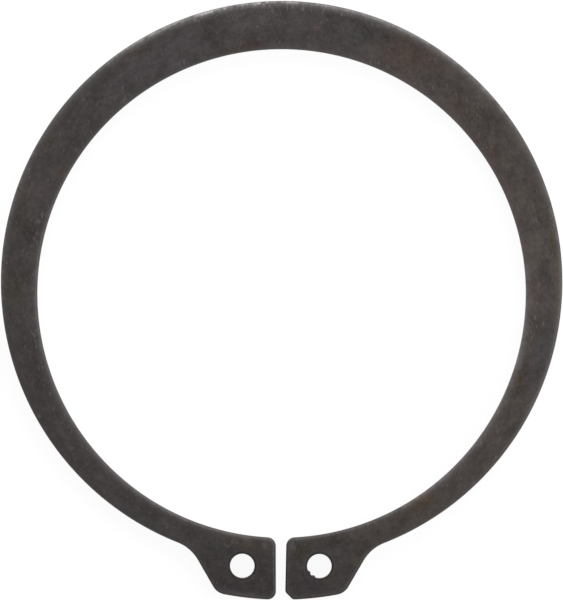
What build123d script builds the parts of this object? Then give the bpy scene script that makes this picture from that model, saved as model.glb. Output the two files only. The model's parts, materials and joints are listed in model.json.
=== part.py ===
from build123d import *
from math import cos, radians, sin, sqrt, tan
import os

os.makedirs("parts", exist_ok=True)

# an external retaining ring for the groove of a round shaft, pressed from spring steel sheet
# it lies on its flat underside at z = 0, the bore axis is z and the lugs point to -y

# beam, bent round the bore and widest opposite the lugs
thickness = 2.5
bore_diameter = 60.8
back_width = 6.0
end_width = 3.08

# lugs, each with a round hole for the tip of a pair of pliers
lug_depth = 7.72
hole_diameter = 3.04
hole_spacing = 9.6
flank_angle = 30
flank_from_hole = 4.42

# open gap between the lugs, measured beside the holes, with each face leaning in towards its tip
gap = 1.24
left_lean = 0.28
right_lean = 1.06

# edges left by the press: rolled over on the upper face, only broken elsewhere
edge_roll = 0.17 * thickness
edge_break = 0.05 * thickness

# corners of the outline: round ones as shares of the lug's depth, and the right tip's cut corner
root_round = 0.65 * lug_depth
tip_round = 0.27 * lug_depth
gap_bore_round = 0.14 * lug_depth
gap_tip_round = 0.133 * lug_depth
gap_tip_cut = 0.124 * lug_depth
cut_blend = 1.25 * edge_roll

# two burrs on the wall of the right lug's hole, from the underside up
burr_radius = 0.1 * hole_diameter
burr_height = 0.75 * thickness
burr_angles = (213, 242)

bore_radius = bore_diameter / 2
outer_radius = bore_radius + (back_width + end_width) / 2
outer_shift = (back_width - end_width) / 2
lug_radius = bore_radius + lug_depth
hole_x = hole_spacing / 2
hole_y = -sqrt((bore_radius + 0.5 * lug_depth) ** 2 - hole_x**2)

# heights well inside the bore and well past the lugs, where the cutting shapes end
inside_y = -0.9 * bore_radius
past_y = -1.05 * lug_radius


def flank_x(y):
    return hole_x + (flank_from_hole + (y - hole_y) * sin(radians(flank_angle))) / cos(radians(flank_angle))


def gap_x(y, lean):
    return gap / 2 + (y - hole_y) * tan(radians(lean))


# both lugs as one plate, cut to the arc of their tips
with BuildSketch() as lug_plate:
    with BuildLine():
        Polyline(
            (-flank_x(inside_y), inside_y),
            (-flank_x(past_y), past_y),
            (flank_x(past_y), past_y),
            (flank_x(inside_y), inside_y),
            close=True,
        )
    make_face()
    Circle(lug_radius, mode=Mode.INTERSECT)

with BuildSketch() as outline:
    # the beam's outer circle sits off the bore axis, which makes the beam taper
    with Locations((0, outer_shift)):
        Circle(outer_radius)
    add(lug_plate.sketch)
    Circle(bore_radius, mode=Mode.SUBTRACT)
    with BuildLine():
        Polyline(
            (-gap_x(inside_y, left_lean), inside_y),
            (-gap_x(past_y, left_lean), past_y),
            (gap_x(past_y, right_lean), past_y),
            (gap_x(inside_y, right_lean), inside_y),
            close=True,
        )
    make_face(mode=Mode.SUBTRACT)

    # corners of the gap: round at the bore, round on the left tip and cut off on the right tip
    for side in (-1, 1):
        corner = outline.vertices().sort_by_distance((side * gap / 2, -bore_radius))[0]
        fillet(corner, gap_bore_round)
    fillet(outline.vertices().sort_by_distance((-gap / 2, -lug_radius))[0], gap_tip_round)
    chamfer(outline.vertices().sort_by_distance((gap / 2, -lug_radius))[0], gap_tip_cut)
    fillet(outline.vertices().sort_by_distance((gap / 2, -lug_radius))[:2], cut_blend)

    # corners of the flanks, at the tips and where they run into the beam
    for side in (-1, 1):
        corner = outline.vertices().sort_by_distance((side * flank_x(-lug_radius), -lug_radius))[0]
        fillet(corner, tip_round)
        corner = outline.vertices().sort_by_distance((side * flank_x(-bore_radius), -bore_radius))[0]
        fillet(corner, root_round)

    with Locations((-hole_x, hole_y), (hole_x, hole_y)):
        Circle(hole_diameter / 2, mode=Mode.SUBTRACT)

with BuildPart() as circlip:
    add(outline.sketch)
    extrude(amount=thickness)

    upper_face = circlip.faces().sort_by(Axis.Z)[-1]
    fillet(upper_face.outer_wire().edges(), edge_roll)
    upper_face = circlip.faces().sort_by(Axis.Z)[-1]
    chamfer([edge for wire in upper_face.inner_wires() for edge in wire.edges()], edge_break)
    chamfer(circlip.faces().sort_by(Axis.Z)[0].edges(), edge_break)

    with Locations((hole_x, hole_y, edge_break)):
        with Locations(*[Location((0, 0, 0), (0, 0, angle)) for angle in burr_angles]):
            with Locations((hole_diameter / 2 + burr_radius / 2, 0, 0)):
                Cylinder(burr_radius, burr_height, align=(Align.CENTER, Align.CENTER, Align.MIN))

circlip.part.label = "circlip"
export_step(circlip.part, "parts/circlip.step")
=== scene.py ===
import json
import math
import bpy
import numpy as np
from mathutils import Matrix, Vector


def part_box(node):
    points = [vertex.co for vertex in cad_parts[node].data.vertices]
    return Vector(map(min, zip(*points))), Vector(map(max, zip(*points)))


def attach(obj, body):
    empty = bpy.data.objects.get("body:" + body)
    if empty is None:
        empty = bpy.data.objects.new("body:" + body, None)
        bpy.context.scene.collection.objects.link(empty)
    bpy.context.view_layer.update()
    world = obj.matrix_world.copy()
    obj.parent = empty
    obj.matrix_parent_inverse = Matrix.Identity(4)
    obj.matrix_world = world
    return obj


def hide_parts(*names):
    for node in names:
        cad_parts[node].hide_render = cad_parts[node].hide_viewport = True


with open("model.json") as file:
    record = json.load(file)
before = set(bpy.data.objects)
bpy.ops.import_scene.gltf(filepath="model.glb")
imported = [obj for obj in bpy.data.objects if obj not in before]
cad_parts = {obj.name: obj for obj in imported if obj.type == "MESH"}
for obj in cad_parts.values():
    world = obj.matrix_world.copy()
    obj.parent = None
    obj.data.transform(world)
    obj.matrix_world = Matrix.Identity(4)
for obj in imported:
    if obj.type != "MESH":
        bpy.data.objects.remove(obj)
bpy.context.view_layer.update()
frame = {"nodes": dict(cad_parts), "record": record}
lowCorner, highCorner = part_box("circlip")
print("frame loaded:", ", ".join(frame["nodes"]))

mounts = {mount["name"]: mount for mount in frame["record"]["mounts"]}

# sizes of the ring in millimetres, as its drawing would give them
lugDepth = 7.72  # from the bore to the arc of the tips
ring = {
    "thickness": (highCorner[2] - lowCorner[2]) * 1000,
    "boreRadius": mounts["shaft_groove"]["dims"]["r_mm"],
    "backWidth": 6,
    "endWidth": 3.08,
    "lugDepth": lugDepth,
    "holeRadius": mounts["right_plier_hole"]["dims"]["r_mm"],
    "holeX": mounts["right_plier_hole"]["pos_m"][0] * 1000,
    "flankAngle": 30,
    "flankFromHole": 4.42,
    "gap": 1.24,  # between the lugs, beside the holes
    "leftLean": 0.28,
    "rightLean": 1.06,
    "rootRound": 0.65 * lugDepth,  # where a flank runs into the beam
    "tipRound": 0.27 * lugDepth,
    "gapBoreRound": 0.14 * lugDepth,
    "gapTipRound": 0.133 * lugDepth,  # on the left lug
    "gapTipCut": 0.124 * lugDepth,  # on the right lug
    "cutBlend": 0.53,
    "rollDepth": 0.34,  # how far the press drew the upper edge down
    "beamRoll": 1.15,  # how far in from the edge that starts on the beam
    "lugRoll": 0.5,  # and on the lugs
    "widensFrom": -33,  # height on the drawing where the roll starts to widen
    "widensOver": 14,
    "rollUneven": 0.1,  # share by which the width of the roll wanders
    "edgeBreak": 0.125,
    "tearHeight": 0.48,  # share of the wall, from below, that tore instead of shearing
    "tearDepth": 0.035,
    "burrRadius": 0.304,  # two burrs on the wall of the right lug's hole
    "burrTop": 2,
    "burrSlope": 0.12,  # height over which a burr fades into the wall
    "burrAngles": (213, 242),
    "rim": 0.45,  # band along the outline that follows it exactly
    "beamStations": 520,
    "lugSpacing": 0.16,
    "rowsAcross": 17,
}


# a straight edge through a point; the metal lies to the left of its heading
def straightEdge(x, y, headingX, headingY):
    heading = np.array([headingX, headingY]) / math.hypot(headingX, headingY)
    return {"point": np.array([x, y]), "heading": heading}


# a round edge; sense 1 has the metal inside the circle, sense -1 has it outside
def roundEdge(x, y, radius, sense):
    return {"centre": np.array([x, y]), "radius": radius, "sense": sense}


# depth of a point past an edge, and the direction in which it grows: distance to the left of
# the line, or the circle's radius less the distance to its centre, times the sense
def depthPast(edge, point):
    if "heading" in edge:
        inward = np.array([-edge["heading"][1], edge["heading"][0]])
        return (point - edge["point"]) @ inward, inward
    away = point - edge["centre"]
    reach = math.hypot(*away)
    return edge["sense"] * (edge["radius"] - reach), -edge["sense"] * away / reach


# the round of a corner: Newton's steps find the point that lies one radius deep past both edges;
# a hollow corner has a negative radius, and a radius of 0 gives the sharp corner
def roundCorner(before, after, radius, near):
    centre = np.array(near, float)
    for step in range(25):
        depthA, inwardA = depthPast(before, centre)
        depthB, inwardB = depthPast(after, centre)
        centre = centre + np.linalg.solve([inwardA, inwardB], [radius - depthA, radius - depthB])
    start, end = centre - radius * inwardA, centre - radius * inwardB
    return {"centre": centre, "radius": radius, "start": start, "end": end}


# points of an arc, its end left out, with their inward directions:
# centre plus radius times (cosine, sine) of evenly spaced angles, turning by the sense
def arcPoints(centre, radius, first, last, sense, spacing):
    angleA = math.atan2(*(first - centre)[::-1])
    angleB = math.atan2(*(last - centre)[::-1])
    turn = (sense * (angleB - angleA)) % (2 * math.pi)
    count = max(2, math.ceil(turn * radius / spacing))
    angles = angleA + sense * np.linspace(0, turn, count, endpoint=False)
    outward = np.stack([np.cos(angles), np.sin(angles)], 1)
    return centre + radius * outward, -sense * outward


# points of a corner's round: its arc, which turns the other way where the corner is hollow
def cornerPoints(corner, spacing):
    sense = 1 if corner["radius"] > 0 else -1
    ends = corner["start"], corner["end"]
    return arcPoints(corner["centre"], abs(corner["radius"]), *ends, sense, spacing)


# points of an edge from one place on it to another: evenly spaced on the line, or along the arc
def edgePoints(edge, first, last, spacing):
    if "centre" in edge:
        return arcPoints(edge["centre"], edge["radius"], first, last, edge["sense"], spacing)
    count = max(2, math.ceil(math.dist(first, last) / spacing))
    share = np.linspace(0, 1, count, endpoint=False)[:, None]
    inward = np.array([-edge["heading"][1], edge["heading"][0]])
    return first + share * (last - first), np.tile(inward, (count, 1))


# outline of the ring with the metal on its left, as four chains of points and inward directions
# that follow each other: right lug, beam's outer edge, left lug, beam's bore edge
def ringOutline(size):
    flank, left, right = (math.radians(size[name]) for name in ("flankAngle", "leftLean", "rightLean"))
    outerRadius = size["boreRadius"] + (size["backWidth"] + size["endWidth"]) / 2
    outerShift = (size["backWidth"] - size["endWidth"]) / 2
    lugRadius = size["boreRadius"] + size["lugDepth"]
    holeY = -math.sqrt((size["boreRadius"] + size["lugDepth"] / 2) ** 2 - size["holeX"] ** 2)
    flankX = size["holeX"] + size["flankFromHole"] * math.cos(flank)
    flankY = holeY - size["flankFromHole"] * math.sin(flank)
    bore = roundEdge(0, 0, size["boreRadius"], -1)
    tipArc = roundEdge(0, 0, lugRadius, 1)
    beamArc = roundEdge(0, outerShift, outerRadius, 1)
    rightFace = straightEdge(size["gap"] / 2, holeY, -math.sin(right), -math.cos(right))
    leftFace = straightEdge(-size["gap"] / 2, holeY, -math.sin(left), math.cos(left))
    rightFlank = straightEdge(flankX, flankY, math.sin(flank), math.cos(flank))
    leftFlank = straightEdge(-flankX, flankY, math.sin(flank), -math.cos(flank))

    # the right tip's cut corner, equally far along the gap face and along the tip's arc
    tipY, boreY = -lugRadius, -size["boreRadius"]
    corner = roundCorner(rightFace, tipArc, 0, (0.5, tipY))["centre"]
    angle = math.atan2(corner[1], corner[0]) + size["gapTipCut"] / lugRadius
    cutStart = corner - size["gapTipCut"] * rightFace["heading"]
    cutEnd = lugRadius * np.array([math.cos(angle), math.sin(angle)])
    cut = straightEdge(*cutStart, *(cutEnd - cutStart))

    # every corner, with a point near its centre
    boreRight = roundCorner(bore, rightFace, size["gapBoreRound"], (1.6, boreY - 1))
    cutUpper = roundCorner(rightFace, cut, size["cutBlend"], (1.1, tipY + 1.2))
    cutLower = roundCorner(cut, tipArc, size["cutBlend"], (1.6, tipY + 0.5))
    tipRight = roundCorner(tipArc, rightFlank, size["tipRound"], (6.6, tipY + 2.6))
    rootRight = roundCorner(rightFlank, beamArc, -size["rootRound"], (14.7, tipY + 2.3))
    rootLeft = roundCorner(beamArc, leftFlank, -size["rootRound"], (-14.7, tipY + 2.3))
    tipLeft = roundCorner(leftFlank, tipArc, size["tipRound"], (-6.6, tipY + 2.6))
    gapTip = roundCorner(tipArc, leftFace, size["gapTipRound"], (-1.6, tipY + 1))
    boreLeft = roundCorner(leftFace, bore, size["gapBoreRound"], (-1.6, boreY - 1))

    # the beam's stations lie on rays from the bore's axis, evenly spaced from one root to the other;
    # on a ray, the off-centre circle is shift * sine + root(radius^2 - (shift * cosine)^2) away
    firstRay = math.atan2(*rootRight["end"][::-1])
    lastRay = math.atan2(*rootLeft["start"][::-1]) % (2 * math.pi)
    rays = np.linspace(firstRay, lastRay, size["beamStations"] + 1)
    outward = np.stack([np.cos(rays), np.sin(rays)], 1)
    shift = outerShift * outward
    reach = shift[:, 1] + np.sqrt(outerRadius**2 - shift[:, 0] ** 2)
    beamOuter = outward * reach[:, None]
    beamOuterInward = (beamArc["centre"] - beamOuter) / outerRadius
    beamBore = outward * size["boreRadius"]

    space = size["lugSpacing"]
    rightLug = [
        edgePoints(bore, beamBore[0], boreRight["start"], space),
        cornerPoints(boreRight, space / 2),
        edgePoints(rightFace, boreRight["end"], cutUpper["start"], space),
        cornerPoints(cutUpper, space / 2),
        edgePoints(cut, cutUpper["end"], cutLower["start"], space),
        cornerPoints(cutLower, space / 2),
        edgePoints(tipArc, cutLower["end"], tipRight["start"], space),
        cornerPoints(tipRight, space),
        edgePoints(rightFlank, tipRight["end"], rootRight["start"], space),
        cornerPoints(rootRight, space),
    ]
    leftLug = [
        cornerPoints(rootLeft, space),
        edgePoints(leftFlank, rootLeft["end"], tipLeft["start"], space),
        cornerPoints(tipLeft, space),
        edgePoints(tipArc, tipLeft["end"], gapTip["start"], space),
        cornerPoints(gapTip, space / 2),
        edgePoints(leftFace, gapTip["end"], boreLeft["start"], space),
        cornerPoints(boreLeft, space / 2),
        edgePoints(bore, boreLeft["end"], beamBore[-1], space),
    ]
    chains = [
        [np.concatenate([part[item] for part in rightLug]) for item in (0, 1)],
        [beamOuter[:-1], beamOuterInward[:-1]],
        [np.concatenate([part[item] for part in leftLug]) for item in (0, 1)],
        [beamBore[:0:-1], outward[:0:-1]],
    ]
    return chains, np.array([size["holeX"], holeY])


# drop of the rolled edge at a depth: a quarter of an ellipse, as wide and as high as the roll
def rollDrop(depth, width, height):
    share = np.clip(1 - depth / width, 0, 1)
    return height * (1 - np.sqrt(1 - share**2))


# shortest distance from each point to a closed outline of short straight steps,
# and the number of the nearest step: offset less its share along the step
def outlineDistance(points, outline):
    ahead = np.roll(outline, -1, 0) - outline
    squared = (ahead**2).sum(1)
    distances, nearest = [], []
    for part in np.array_split(points, len(points) // 1000 + 1):
        offset = part[:, None] - outline
        share = np.clip((offset * ahead).sum(2) / squared, 0, 1)
        away = ((offset - share[..., None] * ahead) ** 2).sum(2)
        nearest.append(away.argmin(1))
        distances.append(np.sqrt(away.min(1)))
    return np.concatenate(distances), np.concatenate(nearest)


# a smooth wander from -1 to 1 round a closed path: a sum of sines of whole numbers of waves
def wander(share, seed):
    waves = ((31, 0.35), (67, 0.3), (113, 0.2), (173, 0.15))
    return sum(part * np.sin(2 * np.pi * count * share + seed * count) for count, part in waves)


# grids of points, each with its depths from the edge, joined into one mesh: a cell joins a point,
# the next in its row and the two after them, and points that coincide become one
def joinGrids(grids):
    points, depths, faces, used = [], [], [], 0
    for grid, depth in grids:
        index = used + np.arange(depth.size).reshape(depth.shape)
        cells = np.stack([index[:-1, :-1], index[:-1, 1:], index[1:, 1:], index[1:, :-1]], -1)
        points.append(grid.reshape(-1, 3))
        depths.append(depth.ravel())
        faces.append(cells.reshape(-1, 4))
        used += index.size
    points = np.concatenate(points)
    rounded = np.round(points * 100000).astype(np.int64)
    kept, number = np.unique(rounded, axis=0, return_index=True, return_inverse=True)[1:]
    return points[kept], np.concatenate(depths)[kept], number.ravel()[np.concatenate(faces)]


# profile carried along the outline, from the underside round the edge to the upper face: the under
# edge's quarter circle, the torn part of the wall leaning in, its sheared part, the elliptical roll
def edgeBand(size, outline, inward, widths, share):
    top, edgeBreak = size["thickness"], size["edgeBreak"]
    flat = np.zeros((1, len(share)))
    wallShare = np.linspace(0, 1, 11)[:, None]
    tearLine = size["tearHeight"] + 0.06 * wander(share, 0.4)
    torn = np.clip((tearLine - wallShare) / 0.15, 0, 1) * (1.4 - wallShare)
    wallInset = size["tearDepth"] * torn * (1 + 0.4 * wander(share, 2.2))
    wallHeight = edgeBreak + (top - size["rollDepth"] - edgeBreak) * wallShare + flat

    underTurn = np.linspace(0, np.pi / 2, 5)[:-1, None]
    underInset = wallInset[0] + edgeBreak * (1 - np.sin(underTurn))
    underHeight = edgeBreak * (1 - np.cos(underTurn)) + flat

    rollTurn = np.arccos(1 - size["rim"] / widths) * np.linspace(0, 1, 12)[1:, None]
    rollInset = widths * (1 - np.cos(rollTurn))
    rollHeight = top - size["rollDepth"] * (1 - np.sin(rollTurn))

    inset = np.concatenate([flat + size["rim"], underInset, wallInset, rollInset])
    band = np.empty(inset.shape + (3,))
    band[..., :2] = outline + inset[..., None] * inward
    band[..., 2] = np.concatenate([flat, underHeight, wallHeight, rollHeight])
    return band, inset


# wall of a hole from the upper face down: radius and height of a quarter circle, of a cylinder and
# of another quarter circle, with each burr's round back standing in from the cylinder
def holeWall(size, centre, angles, burrAngles):
    top, edgeBreak = size["thickness"], size["edgeBreak"]
    turn = np.linspace(np.pi / 2, 0, 5)
    broken = edgeBreak * (1 - np.sin(turn))
    straight = np.linspace(top - edgeBreak, edgeBreak, 22)[1:-1]
    heights = np.concatenate([top - broken, straight, broken[::-1]])
    widened = edgeBreak * (1 - np.cos(turn))
    flare = np.concatenate([widened, 0 * straight, widened[::-1]])
    stand = np.zeros_like(angles)
    for burrAngle in burrAngles:
        aside = (angles - math.radians(burrAngle) + np.pi) % (2 * np.pi) - np.pi
        back = size["burrRadius"] ** 2 - (size["holeRadius"] * aside) ** 2
        stand = np.maximum(stand, np.sqrt(np.maximum(back, 0)) - size["burrRadius"] / 2)
    below = np.clip((size["burrTop"] - heights) / size["burrSlope"], 0, 1) * (heights > edgeBreak)
    radii = size["holeRadius"] + flare[:, None] - below[:, None] * stand
    grid = np.empty(radii.shape + (3,))
    grid[..., 0] = centre[0] + radii * np.cos(angles)
    grid[..., 1] = centre[1] + radii * np.sin(angles)
    grid[..., 2] = heights[:, None]
    return grid


# the whole ring: its edge band and, above and below it, the faces of the beam and of the lugs,
# as grids of points on straight lines from one rim to another, with the walls of the holes
def buildRing(size):
    chains, rightHole = ringOutline(size)
    outline = np.concatenate([chain[0] for chain in chains])
    inward = np.concatenate([chain[1] for chain in chains])
    starts = np.cumsum([0] + [len(chain[0]) for chain in chains])
    steps = np.hypot(*(np.roll(outline, -1, 0) - outline).T)
    share = np.concatenate([[0], np.cumsum(steps)[:-1]]) / steps.sum()

    # the roll is narrow on the lugs and widens along the beam
    onBeam = np.clip((outline[:, 1] - size["widensFrom"]) / size["widensOver"], 0, 1)
    widths = size["lugRoll"] + (size["beamRoll"] - size["lugRoll"]) * onBeam**2 * (3 - 2 * onBeam)
    widths = widths * (1 + size["rollUneven"] * wander(share, 1.3))

    band, inset = edgeBand(size, outline, inward, widths, share)
    grids = [(np.concatenate([band, band[:, :1]], 1), np.concatenate([inset, inset[:, :1]], 1))]
    rightLug, beamOuter, leftLug, beamBore = (
        band[-1][np.arange(starts[chain], starts[chain + 1] + 1) % len(outline)] for chain in range(4)
    )

    # the rows of a face between its first and last row drop by the roll; the under face is flat
    def addFace(face, lastDepth):
        inner = face[1:-1, :, :2]
        toEdge, nearest = outlineDistance(inner.reshape(-1, 2), outline)
        drop = rollDrop(toEdge, widths[nearest], size["rollDepth"])
        face[1:-1, :, 2] = (size["thickness"] - drop).reshape(inner.shape[:2])
        depth = np.full(face.shape[:2], size["rim"])
        depth[1:-1] = toEdge.reshape(inner.shape[:2])
        depth[-1] = lastDepth
        under = face[::-1] * (1, 1, 0)
        grids.extend([(face, depth), (under, depth[::-1])])

    # faces of the beam: straight lines from the outer rim to the bore rim, closer near the rims
    across = (0.5 - 0.5 * np.cos(np.linspace(0, np.pi, size["rowsAcross"])))[:, None, None]
    beam = beamOuter + across * (beamBore[::-1] - beamOuter)
    addFace(beam, size["rim"])

    # faces of each lug: straight lines from its rim, closed across the beam, to the edge of its hole
    along = np.linspace(0, 1, size["rowsAcross"])[:, None, None]
    for side, rimPart, seam, burrAngles in (
        (1, rightLug, beam[1:, 0], size["burrAngles"]),
        (-1, leftLug, beam[-2::-1, -1], ()),
    ):
        loop = np.concatenate([rimPart, seam])
        centre = rightHole * (side, 1)
        angles = np.arctan2(*(loop[:, :2] - centre).T[::-1])
        wall = holeWall(size, centre, angles, burrAngles)
        wallDepth = outlineDistance(wall[0, :, :2], outline)[0]
        grids.append((wall, np.broadcast_to(wallDepth, wall.shape[:2])))
        addFace(loop + along * (0.5 + 0.5 * along) * (wall[0] - loop), wallDepth)
    return joinGrids(grids)


# one mesh object at the origin from millimetre points and four-sided faces, smooth, with each
# point's depth from the outline kept in an attribute
def meshPiece(name, points, depths, faces):
    mesh = bpy.data.meshes.new(name)
    mesh.vertices.add(len(points))
    mesh.vertices.foreach_set("co", (points * 0.001).astype(np.float32).ravel())
    mesh.loops.add(faces.size)
    mesh.loops.foreach_set("vertex_index", faces.astype(np.int32).ravel())
    mesh.polygons.add(len(faces))
    mesh.polygons.foreach_set("loop_start", np.arange(0, faces.size, 4, dtype=np.int32))
    mesh.polygons.foreach_set("use_smooth", np.ones(len(faces), bool))
    mesh.update(calc_edges=True)
    attribute = mesh.attributes.new("edgeDepth", "FLOAT", "POINT")
    attribute.data.foreach_set("value", depths.astype(np.float32))
    piece = bpy.data.objects.new(name, mesh)
    bpy.context.scene.collection.objects.link(piece)
    return piece


# a socket that stands in an expression, where each sum or product adds its Math node
class Wire:
    def __init__(self, graph, socket):
        self.graph = graph
        self.socket = socket

    def __add__(self, other):
        return self.graph.maths("ADD", self, other)

    def __sub__(self, other):
        return self.graph.maths("SUBTRACT", self, other)

    def __rsub__(self, other):
        return self.graph.maths("SUBTRACT", other, self)

    def __mul__(self, other):
        return self.graph.maths("MULTIPLY", self, other)

    __radd__ = __add__
    __rmul__ = __mul__


class Graph:
    def __init__(self, owner):
        owner.use_nodes = True
        self.tree = owner.node_tree
        self.tree.nodes.clear()

    # any node: its type, its settings, which are set first, and its sockets' values or links
    def node(self, kind, settings, inputs, output=0):
        made = self.tree.nodes.new(kind)
        for name, value in settings.items():
            setattr(made, name, value)
        for key, value in inputs.items():
            if isinstance(value, Wire):
                self.tree.links.new(value.socket, made.inputs[key])
            else:
                made.inputs[key].default_value = value
        return Wire(self, made.outputs[output]) if made.outputs else made

    def maths(self, operation, first, second=0):
        return self.node("ShaderNodeMath", {"operation": operation}, {0: first, 1: second})

    # 0 at the first value, 1 at the second, with a smooth step between; either may be the larger
    def step(self, value, zeroAt, oneAt):
        ends = {"Value": value, "From Min": zeroAt, "From Max": oneAt}
        return self.node("ShaderNodeMapRange", {"interpolation_type": "SMOOTHSTEP"}, ends)

    def mix(self, share, first, second):
        return self.node("ShaderNodeMix", {"data_type": "RGBA"}, {0: share, 6: first, 7: second}, 2)

    def scale(self, vector, by):
        return self.node("ShaderNodeVectorMath", {"operation": "SCALE"}, {0: vector, "Scale": by})


def colour(red, green, blue):
    return (red, green, blue, 1)


# finish of the steel, painted shade and painted highlights included: lengths in millimetres, colours
# linear, shares from 0 to 1
finish = {
    "plainGrey": colour(0.0535, 0.0455, 0.0435),
    "driftGrey": colour(0.0490, 0.0415, 0.0405),
    "driftPeriod": 14,
    "mottlePeriod": 3.2,
    "mottleGrain": 1.35,  # how much longer along the ring than across it
    "mottleShare": 2.2,
    "raggedPeriod": 1.1,
    "patchRagged": 0.8,  # how ragged the edge of a patch is
    "patchReach": 1.2,  # how far down the wall a patch goes
    "speckSteel": colour(0.16, 0.145, 0.14),
    "speckPeriod": 0.28,
    "speckStretch": 0.36,  # how narrow a scuff is for its length
    "speckShare": 0.42,
    "speckCrowding": 0.13,
    # bright steel of the rubbed edges, which also carries the painted highlights
    "wornSteel": colour(0.26, 0.247, 0.247),
    "wornWidth": 1.1,
    "wornShare": 0.036,  # how worn the rolled edge is everywhere
    "brightWidth": 0.42,  # the outermost part of it, which is rubbed brightest and takes most of the painted highlight
    "brightShare": 0.043,
    "brightRub": 0.6,  # how much of the rubbing, partly a painted highlight, is added there
    "lugLevel": -33,  # below this the lugs are darker, a painted shade, and the edges are sharper
    "lugShade": 0.2,
    "lugEdge": 0.45,  # how dark the painted shade at the very edge of a lug and of its hole is
    "lugLine": 0.17,  # how bright the thin painted highlight line inside it is
    # the same thin painted highlight round each hole
    "holeLine": 0.085,
    "wallGrain": 0.25,  # width of the wall's upright lines
    "tornWall": colour(0.085, 0.072, 0.064),
    "tornGrain": 0.3,
    "tornShare": 0.7,
    "roughness": 0.42,
    "gloss": 0.3,
    "relief": 0.04,  # depth of the surface's fine unevenness
}

# tints that the patches below are mixed towards
tints = {
    "umber": colour(0.0560, 0.0455, 0.0403),
    "tan": colour(0.0655, 0.0540, 0.0480),
    "bark": colour(0.0490, 0.0395, 0.0335),
    # painted shade that darkens the left side, away from the light
    "shade": colour(0.0475, 0.0400, 0.0380),
    "violet": colour(0.0540, 0.0460, 0.0475),
    "rust": colour(0.0600, 0.0405, 0.0260),
    "brown": colour(0.0575, 0.0395, 0.0330),
    "bronze": colour(0.0560, 0.0435, 0.0320),
    "ochre": colour(0.0720, 0.0565, 0.0410),
    "pink": colour(0.0760, 0.0560, 0.0530),
    "plum": colour(0.0450, 0.0350, 0.0380),
    "slate": colour(0.0480, 0.0435, 0.0455),
    "olive": colour(0.0440, 0.0400, 0.0310),
    "moss": colour(0.0400, 0.0335, 0.0230),
    "jade": colour(0.0400, 0.0385, 0.0365),
    "dark": colour(0.0360, 0.0320, 0.0290),
    # painted shade for the gap face of the left lug
    "soot": colour(0.0180, 0.0160, 0.0150),
    "light": colour(0.0850, 0.0740, 0.0710),
    "frost": colour(0.0800, 0.0760, 0.0780),
}

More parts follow.
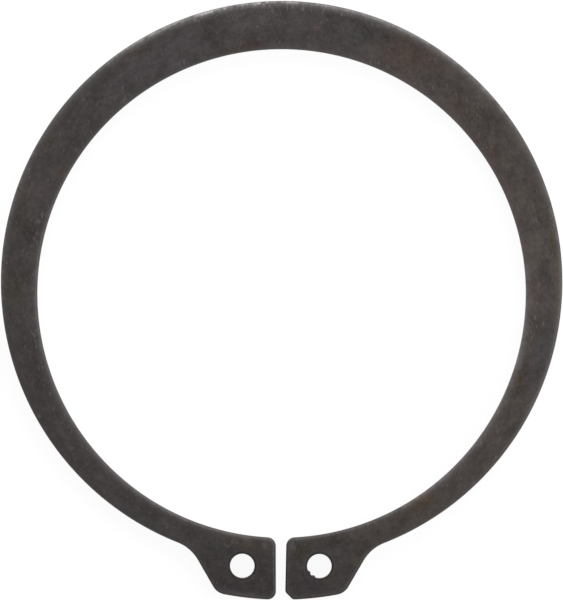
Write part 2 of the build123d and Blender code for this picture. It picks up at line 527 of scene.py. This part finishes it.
# patches where the coating has coloured, with a few of painted shade and of painted highlight, marked
# below: turn in degrees from +X and radius in millimetres from the bore's axis, half length along the
# ring, half width across it, tint, and how far it goes towards it
patches = (
    (-4, 33, 42, 7, "umber", 0.85),
    (10, 33, 24, 7, "tan", 0.45),
    (-62, 33, 5, 7, "bark", 0.6),
    (118, 33, 17, 7, "violet", 0.85),
    # painted shade: the left side darker, away from the light
    (212, 33, 36, 9, "shade", 0.85),
    (22, 30.6, 30, 0.7, "pink", 0.85),
    (-27, 33.6, 4, 1.8, "tan", 0.6),
    (-56, 31.2, 2, 1, "rust", 0.9),
    (-47, 30.9, 0.7, 0.4, "ochre", 0.6),
    (-38, 34, 3.5, 0.5, "brown", 0.7),
    (-29, 33.7, 1.8, 0.5, "olive", 0.7),
    (-19.8, 31.5, 1.4, 0.8, "rust", 0.65),
    (-13, 33.2, 4.5, 1.4, "slate", 0.8),
    (1, 32.9, 5, 0.8, "slate", 0.5),
    (1, 34.9, 4.5, 0.5, "ochre", 0.8),
    (10, 34.5, 2, 0.8, "bronze", 0.7),
    (17, 34.7, 2, 0.5, "bronze", 0.3),
    (3, 31.3, 5, 0.9, "pink", 0.6),
    (12, 31.5, 5, 1.6, "tan", 0.6),
    (34, 31.6, 1.3, 0.8, "brown", 0.9),
    (46, 32.2, 2.4, 0.8, "brown", 0.6),
    (58.5, 34.4, 3, 1.3, "brown", 0.6),
    (62.6, 33.4, 2.8, 2.2, "brown", 0.9),
    (70.8, 30.7, 0.6, 0.3, "pink", 0.9),
    (74, 33, 1.5, 2.4, "slate", 0.6),
    (82.6, 33.2, 0.5, 0.5, "pink", 0.6),
    (97.5, 31, 1.7, 0.8, "brown", 0.9),
    (102, 30.9, 1.6, 0.5, "brown", 0.8),
    (122, 35, 1.8, 0.5, "brown", 0.6),
    (147.5, 34.6, 1.6, 0.35, "ochre", 0.7),
    (151, 31.2, 1.2, 0.6, "rust", 0.6),
    (162, 34.2, 4, 1.5, "tan", 0.4),
    (164, 33.6, 2.4, 0.8, "olive", 0.3),
    (173, 30.5, 15, 0.3, "pink", 0.6),
    (179, 33.2, 2.8, 0.9, "olive", 0.7),
    (236, 33.2, 5, 0.9, "slate", 0.7),
    (261, 30.7, 2.3, 0.5, "pink", 0.9),
    (261.5, 31.7, 3, 0.5, "bronze", 0.8),
    (256.4, 31.3, 0.5, 0.35, "light", 0.5),
    (259.4, 31.4, 0.6, 0.4, "light", 0.5),
    (266.3, 31.5, 0.4, 0.6, "light", 0.9),
    (256.6, 32.6, 1.8, 1, "jade", 0.9),
    # painted highlight: the thin line inside the left lug's tip edge
    (262, 37.7, 4, 0.3, "light", 0.4),
    (264.7, 32.3, 1.7, 0.8, "dark", 0.5),
    # painted shade along the left lug's gap face
    (268.8, 34.8, 0.35, 3, "soot", 0.9),
    (259.7, 37, 1.5, 0.8, "plum", 0.8),
    (266.8, 36.3, 0.5, 1, "light", 0.3),
    (-84.7, 32.4, 1.7, 0.7, "dark", 0.4),
    (-79.7, 32.8, 0.8, 0.6, "light", 0.3),
    # painted highlight: the thin line inside the right lug's tip edge
    (-81.5, 37.7, 3, 0.3, "light", 0.2),
    (-86, 32.3, 0.5, 0.9, "moss", 0.9),
    (-84, 31.9, 0.8, 0.6, "moss", 0.9),
    (-79, 31.1, 2.4, 0.5, "olive", 0.5),
    (-77.4, 31.7, 0.9, 0.5, "moss", 0.8),
    (-77.5, 32.9, 0.6, 0.5, "light", 0.4),
    (-74.4, 34.5, 0.6, 0.5, "ochre", 0.8),
    (-80.2, 36, 0.8, 0.5, "olive", 0.6),
    (-83.8, 36.4, 1.6, 0.8, "plum", 0.9),
    (-87.6, 31.3, 0.5, 0.8, "frost", 0.9),
)

# where the upper edge is rubbed to brighter steel, partly a painted highlight where the rim faces the
# light: turn, radius, half length, half width and share
rubsAndHighlights = (
    (34, 35.7, 13, 1.8, 0.115),
    (69, 36.2, 15, 1.8, 0.31),
    (101, 36.4, 5.5, 0.3, 0.28),
    (110, 36.1, 9.5, 1.8, 0.3),
    (135, 35.8, 26, 1.8, 0.17),
    (168, 34.9, 9, 1, 0.1),
    (-35, 30.4, 17, 1.8, 0.24),
    (-6, 30.6, 9, 2.4, 0.19),
    (60, 30.4, 34, 1, 0.043),
    (210, 30.4, 30, 1.8, 0.1),
    (262, 38.1, 2.5, 1, 0.085),
)

# where the bore's edge has the painted shade at the edge and the painted highlight line that the lugs
# have
boreShadeLine = (176, 30.4, 15, 1)

# where small bright scuffs crowd together: turn, radius, half length, half width and share
scuffs = (
    (-47, 31.3, 6, 0.8, 0.4),
    (-30, 31.2, 5, 0.8, 0.4),
    (-5, 31.4, 4, 0.8, 0.5),
    (4.6, 31.4, 1, 0.6, 1),
    (12, 34, 5, 1, 0.3),
    (42, 33.4, 3, 1.5, 0.3),
    (67.5, 31.2, 1.8, 0.6, 0.6),
    (88, 31.8, 4, 1, 0.3),
    (90, 35.8, 14, 0.9, 0.8),
    (113.7, 31.3, 0.8, 0.8, 0.8),
    (130, 31.2, 2, 0.5, 0.7),
    (141, 31.2, 1, 0.5, 0.7),
    (163, 31.3, 3.6, 0.8, 0.75),
    (200, 31.2, 14, 0.6, 0.6),
    (258, 31.8, 1.8, 0.6, 0.8),
    (268, 31.8, 0.8, 0.8, 0.7),
)


# dark phosphate coating: patches of tint on a mottled grey, some of painted shade, bright scuffs, edges
# rubbed bright and partly painted with highlight, painted shade and highlight lines along the lugs, a
# raw wall
def phosphatedSteel(look, size):
    material = bpy.data.materials.new("phosphatedSteel")
    graph = Graph(material)
    metres = graph.node("ShaderNodeTexCoord", {}, {}, "Object")
    place = graph.scale(metres, 1000)
    depth = graph.node("ShaderNodeAttribute", {"attribute_name": "edgeDepth"}, {}, "Fac")
    x, y, height = (graph.node("ShaderNodeSeparateXYZ", {}, {"Vector": place}, axis) for axis in "XYZ")

    def vector(along, across, up):
        return graph.node("ShaderNodeCombineXYZ", {}, {"X": along, "Y": across, "Z": up})

    def length(of):
        return graph.node("ShaderNodeVectorMath", {"operation": "LENGTH"}, {0: of}, "Value")

    def stretched(at, scale, angle=0):
        sockets = {"Vector": at, "Rotation": (0, 0, math.radians(angle)), "Scale": scale}
        return graph.node("ShaderNodeMapping", {}, sockets)

    def noise(period, detail, seed, at=place, roughness=0.5):
        pattern = {"Scale": 1 / period, "Detail": detail, "Roughness": roughness, "W": seed}
        return graph.node("ShaderNodeTexNoise", {"noise_dimensions": "4D"}, {"Vector": at, **pattern})

    # millimetres along the ring, measured at mid beam from its back, millimetres from the axis, and up
    middle = size["boreRadius"] + size["backWidth"] / 2
    radius = length(vector(x, y, 0))
    ringPlace = vector(middle * graph.maths("ARCTAN2", -1 * x, y), radius, height)

    grain = stretched(ringPlace, (1 / look["mottleGrain"], 1, 1))
    mottle = noise(look["mottlePeriod"], 4, 5.2, grain, roughness=1)
    ragged = noise(look["raggedPeriod"], 3, 9.4, roughness=0.8) - 0.5
    rough = look["patchRagged"] * ragged

    # 1 in the middle of a patch, fading out raggedly: a ball three times the patch's size, in which
    # a gradient falls from 1 to 0, is placed and stretched by the gradient's own mapping
    def patch(angle, reach, halfLength, halfWidth):
        kind = {"gradient_type": "SPHERICAL"}
        ball = graph.node("ShaderNodeTexGradient", kind, {"Vector": ringPlace}, "Fac")
        ends = ball.socket.node.texture_mapping
        ends.vector_type = "TEXTURE"
        ends.translation = (middle * math.radians(angle - 90), reach, size["thickness"])
        ends.scale = (3 * halfLength, 3 * halfWidth, 3 * look["patchReach"])
        return graph.step(ball - rough, 0.53, 0.9)

    drift = noise(look["driftPeriod"], 2, 3.1)
    base = graph.mix(graph.step(drift, 0.35, 0.65), look["plainGrey"], look["driftGrey"])
    for *where, tint, share in patches:
        base = graph.mix(share * patch(*where), base, tints[tint])
    base = graph.scale(base, 1 + look["mottleShare"] * (mottle - 0.5))

    # small bright scuffs, short strokes in two directions
    crowd = sum(share * patch(*where) for *where, share in scuffs)
    for angle, seed in ((10, 1.9), (80, 7.7)):
        strokes = stretched(place, (1, look["speckStretch"], 1), angle)
        speck = noise(look["speckPeriod"], 1, seed, strokes)
        scuffed = graph.step(speck + look["speckCrowding"] * crowd, 0.67, 0.8)
        base = graph.mix(look["speckShare"] * scuffed, base, look["speckSteel"])

    # the rolled edge rubbed brighter, partly a painted highlight where it faces the light; on the lugs
    # a painted shade at the very edge with a thin painted highlight line inside it, and the same round
    # the holes
    holeX = graph.maths("ABSOLUTE", x) - size["holeX"]
    holeY = math.sqrt((size["boreRadius"] + size["lugDepth"] / 2) ** 2 - size["holeX"] ** 2) + y
    holeDepth = length(vector(holeX, holeY, 0)) - size["holeRadius"]
    onLug = graph.step(y, look["lugLevel"] + 3, look["lugLevel"])
    pastBore = graph.step(radius, size["boreRadius"] + 0.3, size["boreRadius"] + 1)
    lined = onLug * pastBore + 0.5 * patch(*boreShadeLine)
    # rubbed wear along the rims, partly a painted highlight where a rim faces the light
    rubAndHighlight = look["wornShare"] + sum(share * patch(*where) for *where, share in rubsAndHighlights)
    uneven = rough + 1.5 * (mottle - 0.5)
    broad = rubAndHighlight * graph.step(depth + uneven, look["wornWidth"], 0)
    brightest = graph.step(depth + 0.4 * uneven, look["brightWidth"], 0.05)
    narrow = (look["brightShare"] + look["brightRub"] * rubAndHighlight) * brightest
    frayed = 0.5 * ragged
    # thin painted highlight lines inside the edges of the lugs, the lined bore and round the holes
    line = graph.step(depth, 0.14, 0.28) * graph.step(depth + frayed, 0.5, 0.32)
    holeLine = graph.step(holeDepth, 0.3, 0.42) * graph.step(holeDepth + frayed, 0.65, 0.48)
    thin = look["lugLine"] * lined * line + look["holeLine"] * holeLine
    # wear and painted highlight mixed in as bright metallic steel
    wearAndHighlight = broad + narrow + thin * graph.step(ragged, -0.15, 0.1)
    base = graph.mix(wearAndHighlight, base, look["wornSteel"])
    # painted shade at the very edge of the lugs, of the lined bore and round the holes
    dark = lined * graph.step(depth, 0.24, 0.1) + 0.85 * graph.step(holeDepth, 0.3, 0.08)
    # painted shade: the lugs darker as a whole, times the painted shade at the edges
    base = graph.scale(base, (1 - look["lugShade"] * onLug) * (1 - look["lugEdge"] * dark))

    # the wall below the roll: fine upright lines where it sheared, coarser and browner where it tore
    nearest = graph.maths("MINIMUM", depth, holeDepth)
    rollFoot = size["thickness"] - size["rollDepth"]
    onWall = graph.step(nearest, 0.12, 0.03) * graph.step(height, rollFoot + 0.1, rollFoot - 0.26)
    lines = noise(look["wallGrain"], 2, 2.6, stretched(place, (1, 1, 0.08)))
    tearLine = size["thickness"] * size["tearHeight"]
    torn = onWall * graph.step(height + frayed, tearLine + 0.1, tearLine - 0.3)
    base = graph.mix(look["tornShare"] * torn, base, look["tornWall"])

    relief = mottle + onWall * (lines + torn * noise(look["tornGrain"], 3, 6.3))
    bump = {"Strength": 0.5, "Distance": look["relief"] * 0.001, "Height": relief}
    surface = {
        "Base Color": base,
        "Roughness": look["roughness"] + 0.4 * (mottle - 0.5) + 0.2 * torn,
        "Metallic": wearAndHighlight,
        "Specular IOR Level": look["gloss"],
        "Normal": graph.node("ShaderNodeBump", {}, bump),
    }
    shader = graph.node("ShaderNodeBsdfPrincipled", {}, surface)
    graph.node("ShaderNodeOutputMaterial", {}, {"Surface": shader})
    return material


ringPoints, ringDepths, ringFaces = buildRing(ring)
ringPiece = meshPiece("pressedRing", ringPoints, ringDepths, ringFaces)
ringPiece.data.materials.append(phosphatedSteel(finish, ring))
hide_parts("circlip")
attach(ringPiece, "root")
print("ring made:", len(ringPoints), "points,", len(ringFaces), "faces")

# studio: lengths in metres, angles in degrees
studio = {
    "floorRadius": 4,
    "floorDrop": 0.00001,
    "floorTone": 0.8,
    "floorGlow": 0.93,
    "floorShadowShare": 0.1,
    "skyTone": 0.38,
    "horizonTone": 1,
    "keyLight": {"reach": 0.42, "side": 86, "fromZenith": 50, "tall": 0.25, "wide": 0.5, "power": 0.95},
    "sideLight": {"reach": 0.2, "side": -8, "fromZenith": 55, "tall": 0.1, "wide": 0.16, "power": 0.12},
}


# a flat disc: radius times (cosine, sine) of evenly spaced angles round its centre
def buildFloor(radius, height):
    angles = np.linspace(0, 2 * np.pi, 96, endpoint=False)
    points = np.stack([radius * np.cos(angles), radius * np.sin(angles), np.full(96, height)], 1)
    mesh = bpy.data.meshes.new("floor")
    mesh.from_pydata(points, [], [list(range(96))])
    piece = bpy.data.objects.new("floor", mesh)
    bpy.context.scene.collection.objects.link(piece)
    return piece


# plain paint that the camera and reflections see nearly white, with the shadow showing faintly
def floorPaint(look):
    material = bpy.data.materials.new("floorPaint")
    graph = Graph(material)
    kinds = ("Camera", "Glossy", "Transmission")
    seen = [graph.node("ShaderNodeLightPath", {}, {}, f"Is {kind} Ray") for kind in kinds]
    plain = graph.node("ShaderNodeBsdfDiffuse", {}, {"Color": colour(*[look["floorTone"]] * 3)})
    faint = graph.node("ShaderNodeBsdfDiffuse", {}, {"Color": colour(*[look["floorShadowShare"]] * 3)})
    glow = graph.node("ShaderNodeEmission", {}, {"Strength": look["floorGlow"]})
    white = graph.node("ShaderNodeAddShader", {}, {0: faint, 1: glow})
    mixed = graph.node("ShaderNodeMixShader", {}, {0: seen[0] + seen[1] + seen[2], 1: plain, 2: white})
    graph.node("ShaderNodeOutputMaterial", {}, {"Surface": mixed})
    return material


# an even grey sky that turns white near the horizon
def skyLight(look):
    world = bpy.data.worlds.new("sky")
    graph = Graph(world)
    direction = graph.node("ShaderNodeTexCoord", {}, {}, "Generated")
    height = graph.node("ShaderNodeSeparateXYZ", {}, {"Vector": direction}, "Z")
    above = graph.step(height, 0.15, 0.75)
    tone = graph.mix(above, colour(*[look["horizonTone"]] * 3), colour(*[look["skyTone"]] * 3))
    sky = graph.node("ShaderNodeBackground", {}, {"Color": tone})
    graph.node("ShaderNodeOutputWorld", {}, {"Surface": sky})
    return world


# a lamp that faces the ring from a side, at an angle from straight above, unseen by the camera
def softBox(name, reach, side, fromZenith, tall, wide, power):
    lamp = bpy.data.lights.new(name, "AREA")
    lamp.shape = "RECTANGLE"
    lamp.size = tall
    lamp.size_y = wide
    lamp.energy = power
    box = bpy.data.objects.new(name, lamp)
    turn, tilt = math.radians(side), math.radians(fromZenith)
    level = reach * math.sin(tilt)
    box.location = (level * math.cos(turn), level * math.sin(turn), reach * math.cos(tilt))
    box.rotation_euler = (0, tilt, turn)
    box.visible_camera = False
    bpy.context.scene.collection.objects.link(box)


floor = buildFloor(studio["floorRadius"], -studio["floorDrop"])
floor.data.materials.append(floorPaint(studio))
bpy.context.scene.world = skyLight(studio)
for lampName in ("keyLight", "sideLight"):
    softBox(lampName, **studio[lampName])
print("studio made")

# camera straight above the ring; lengths in millimetres, angle in degrees
view = {
    "lens": 600,
    "sensor": 36,
    "frameHeight": 74.64,  # what the frame shows of the ring's upper face, from top to bottom
    "centreX": -0.008,
    "centreY": -0.816,
    "turn": 0.163,
}


# a long lens so far up that the frame shows the given height of what lies at a level
def cameraAbove(look, level):
    camera = bpy.data.cameras.new("camera")
    camera.lens = look["lens"]
    camera.sensor_width = look["sensor"]
    camera.clip_end = 20
    rig = bpy.data.objects.new("camera", camera)
    reach = look["frameHeight"] * look["lens"] / look["sensor"] + level
    rig.location = [length * 0.001 for length in (look["centreX"], look["centreY"], reach)]
    rig.rotation_euler = (0, 0, math.radians(look["turn"]))
    bpy.context.scene.collection.objects.link(rig)
    return rig


bpy.context.scene.camera = cameraAbove(view, ring["thickness"])
bpy.context.scene.view_settings.view_transform = "Standard"
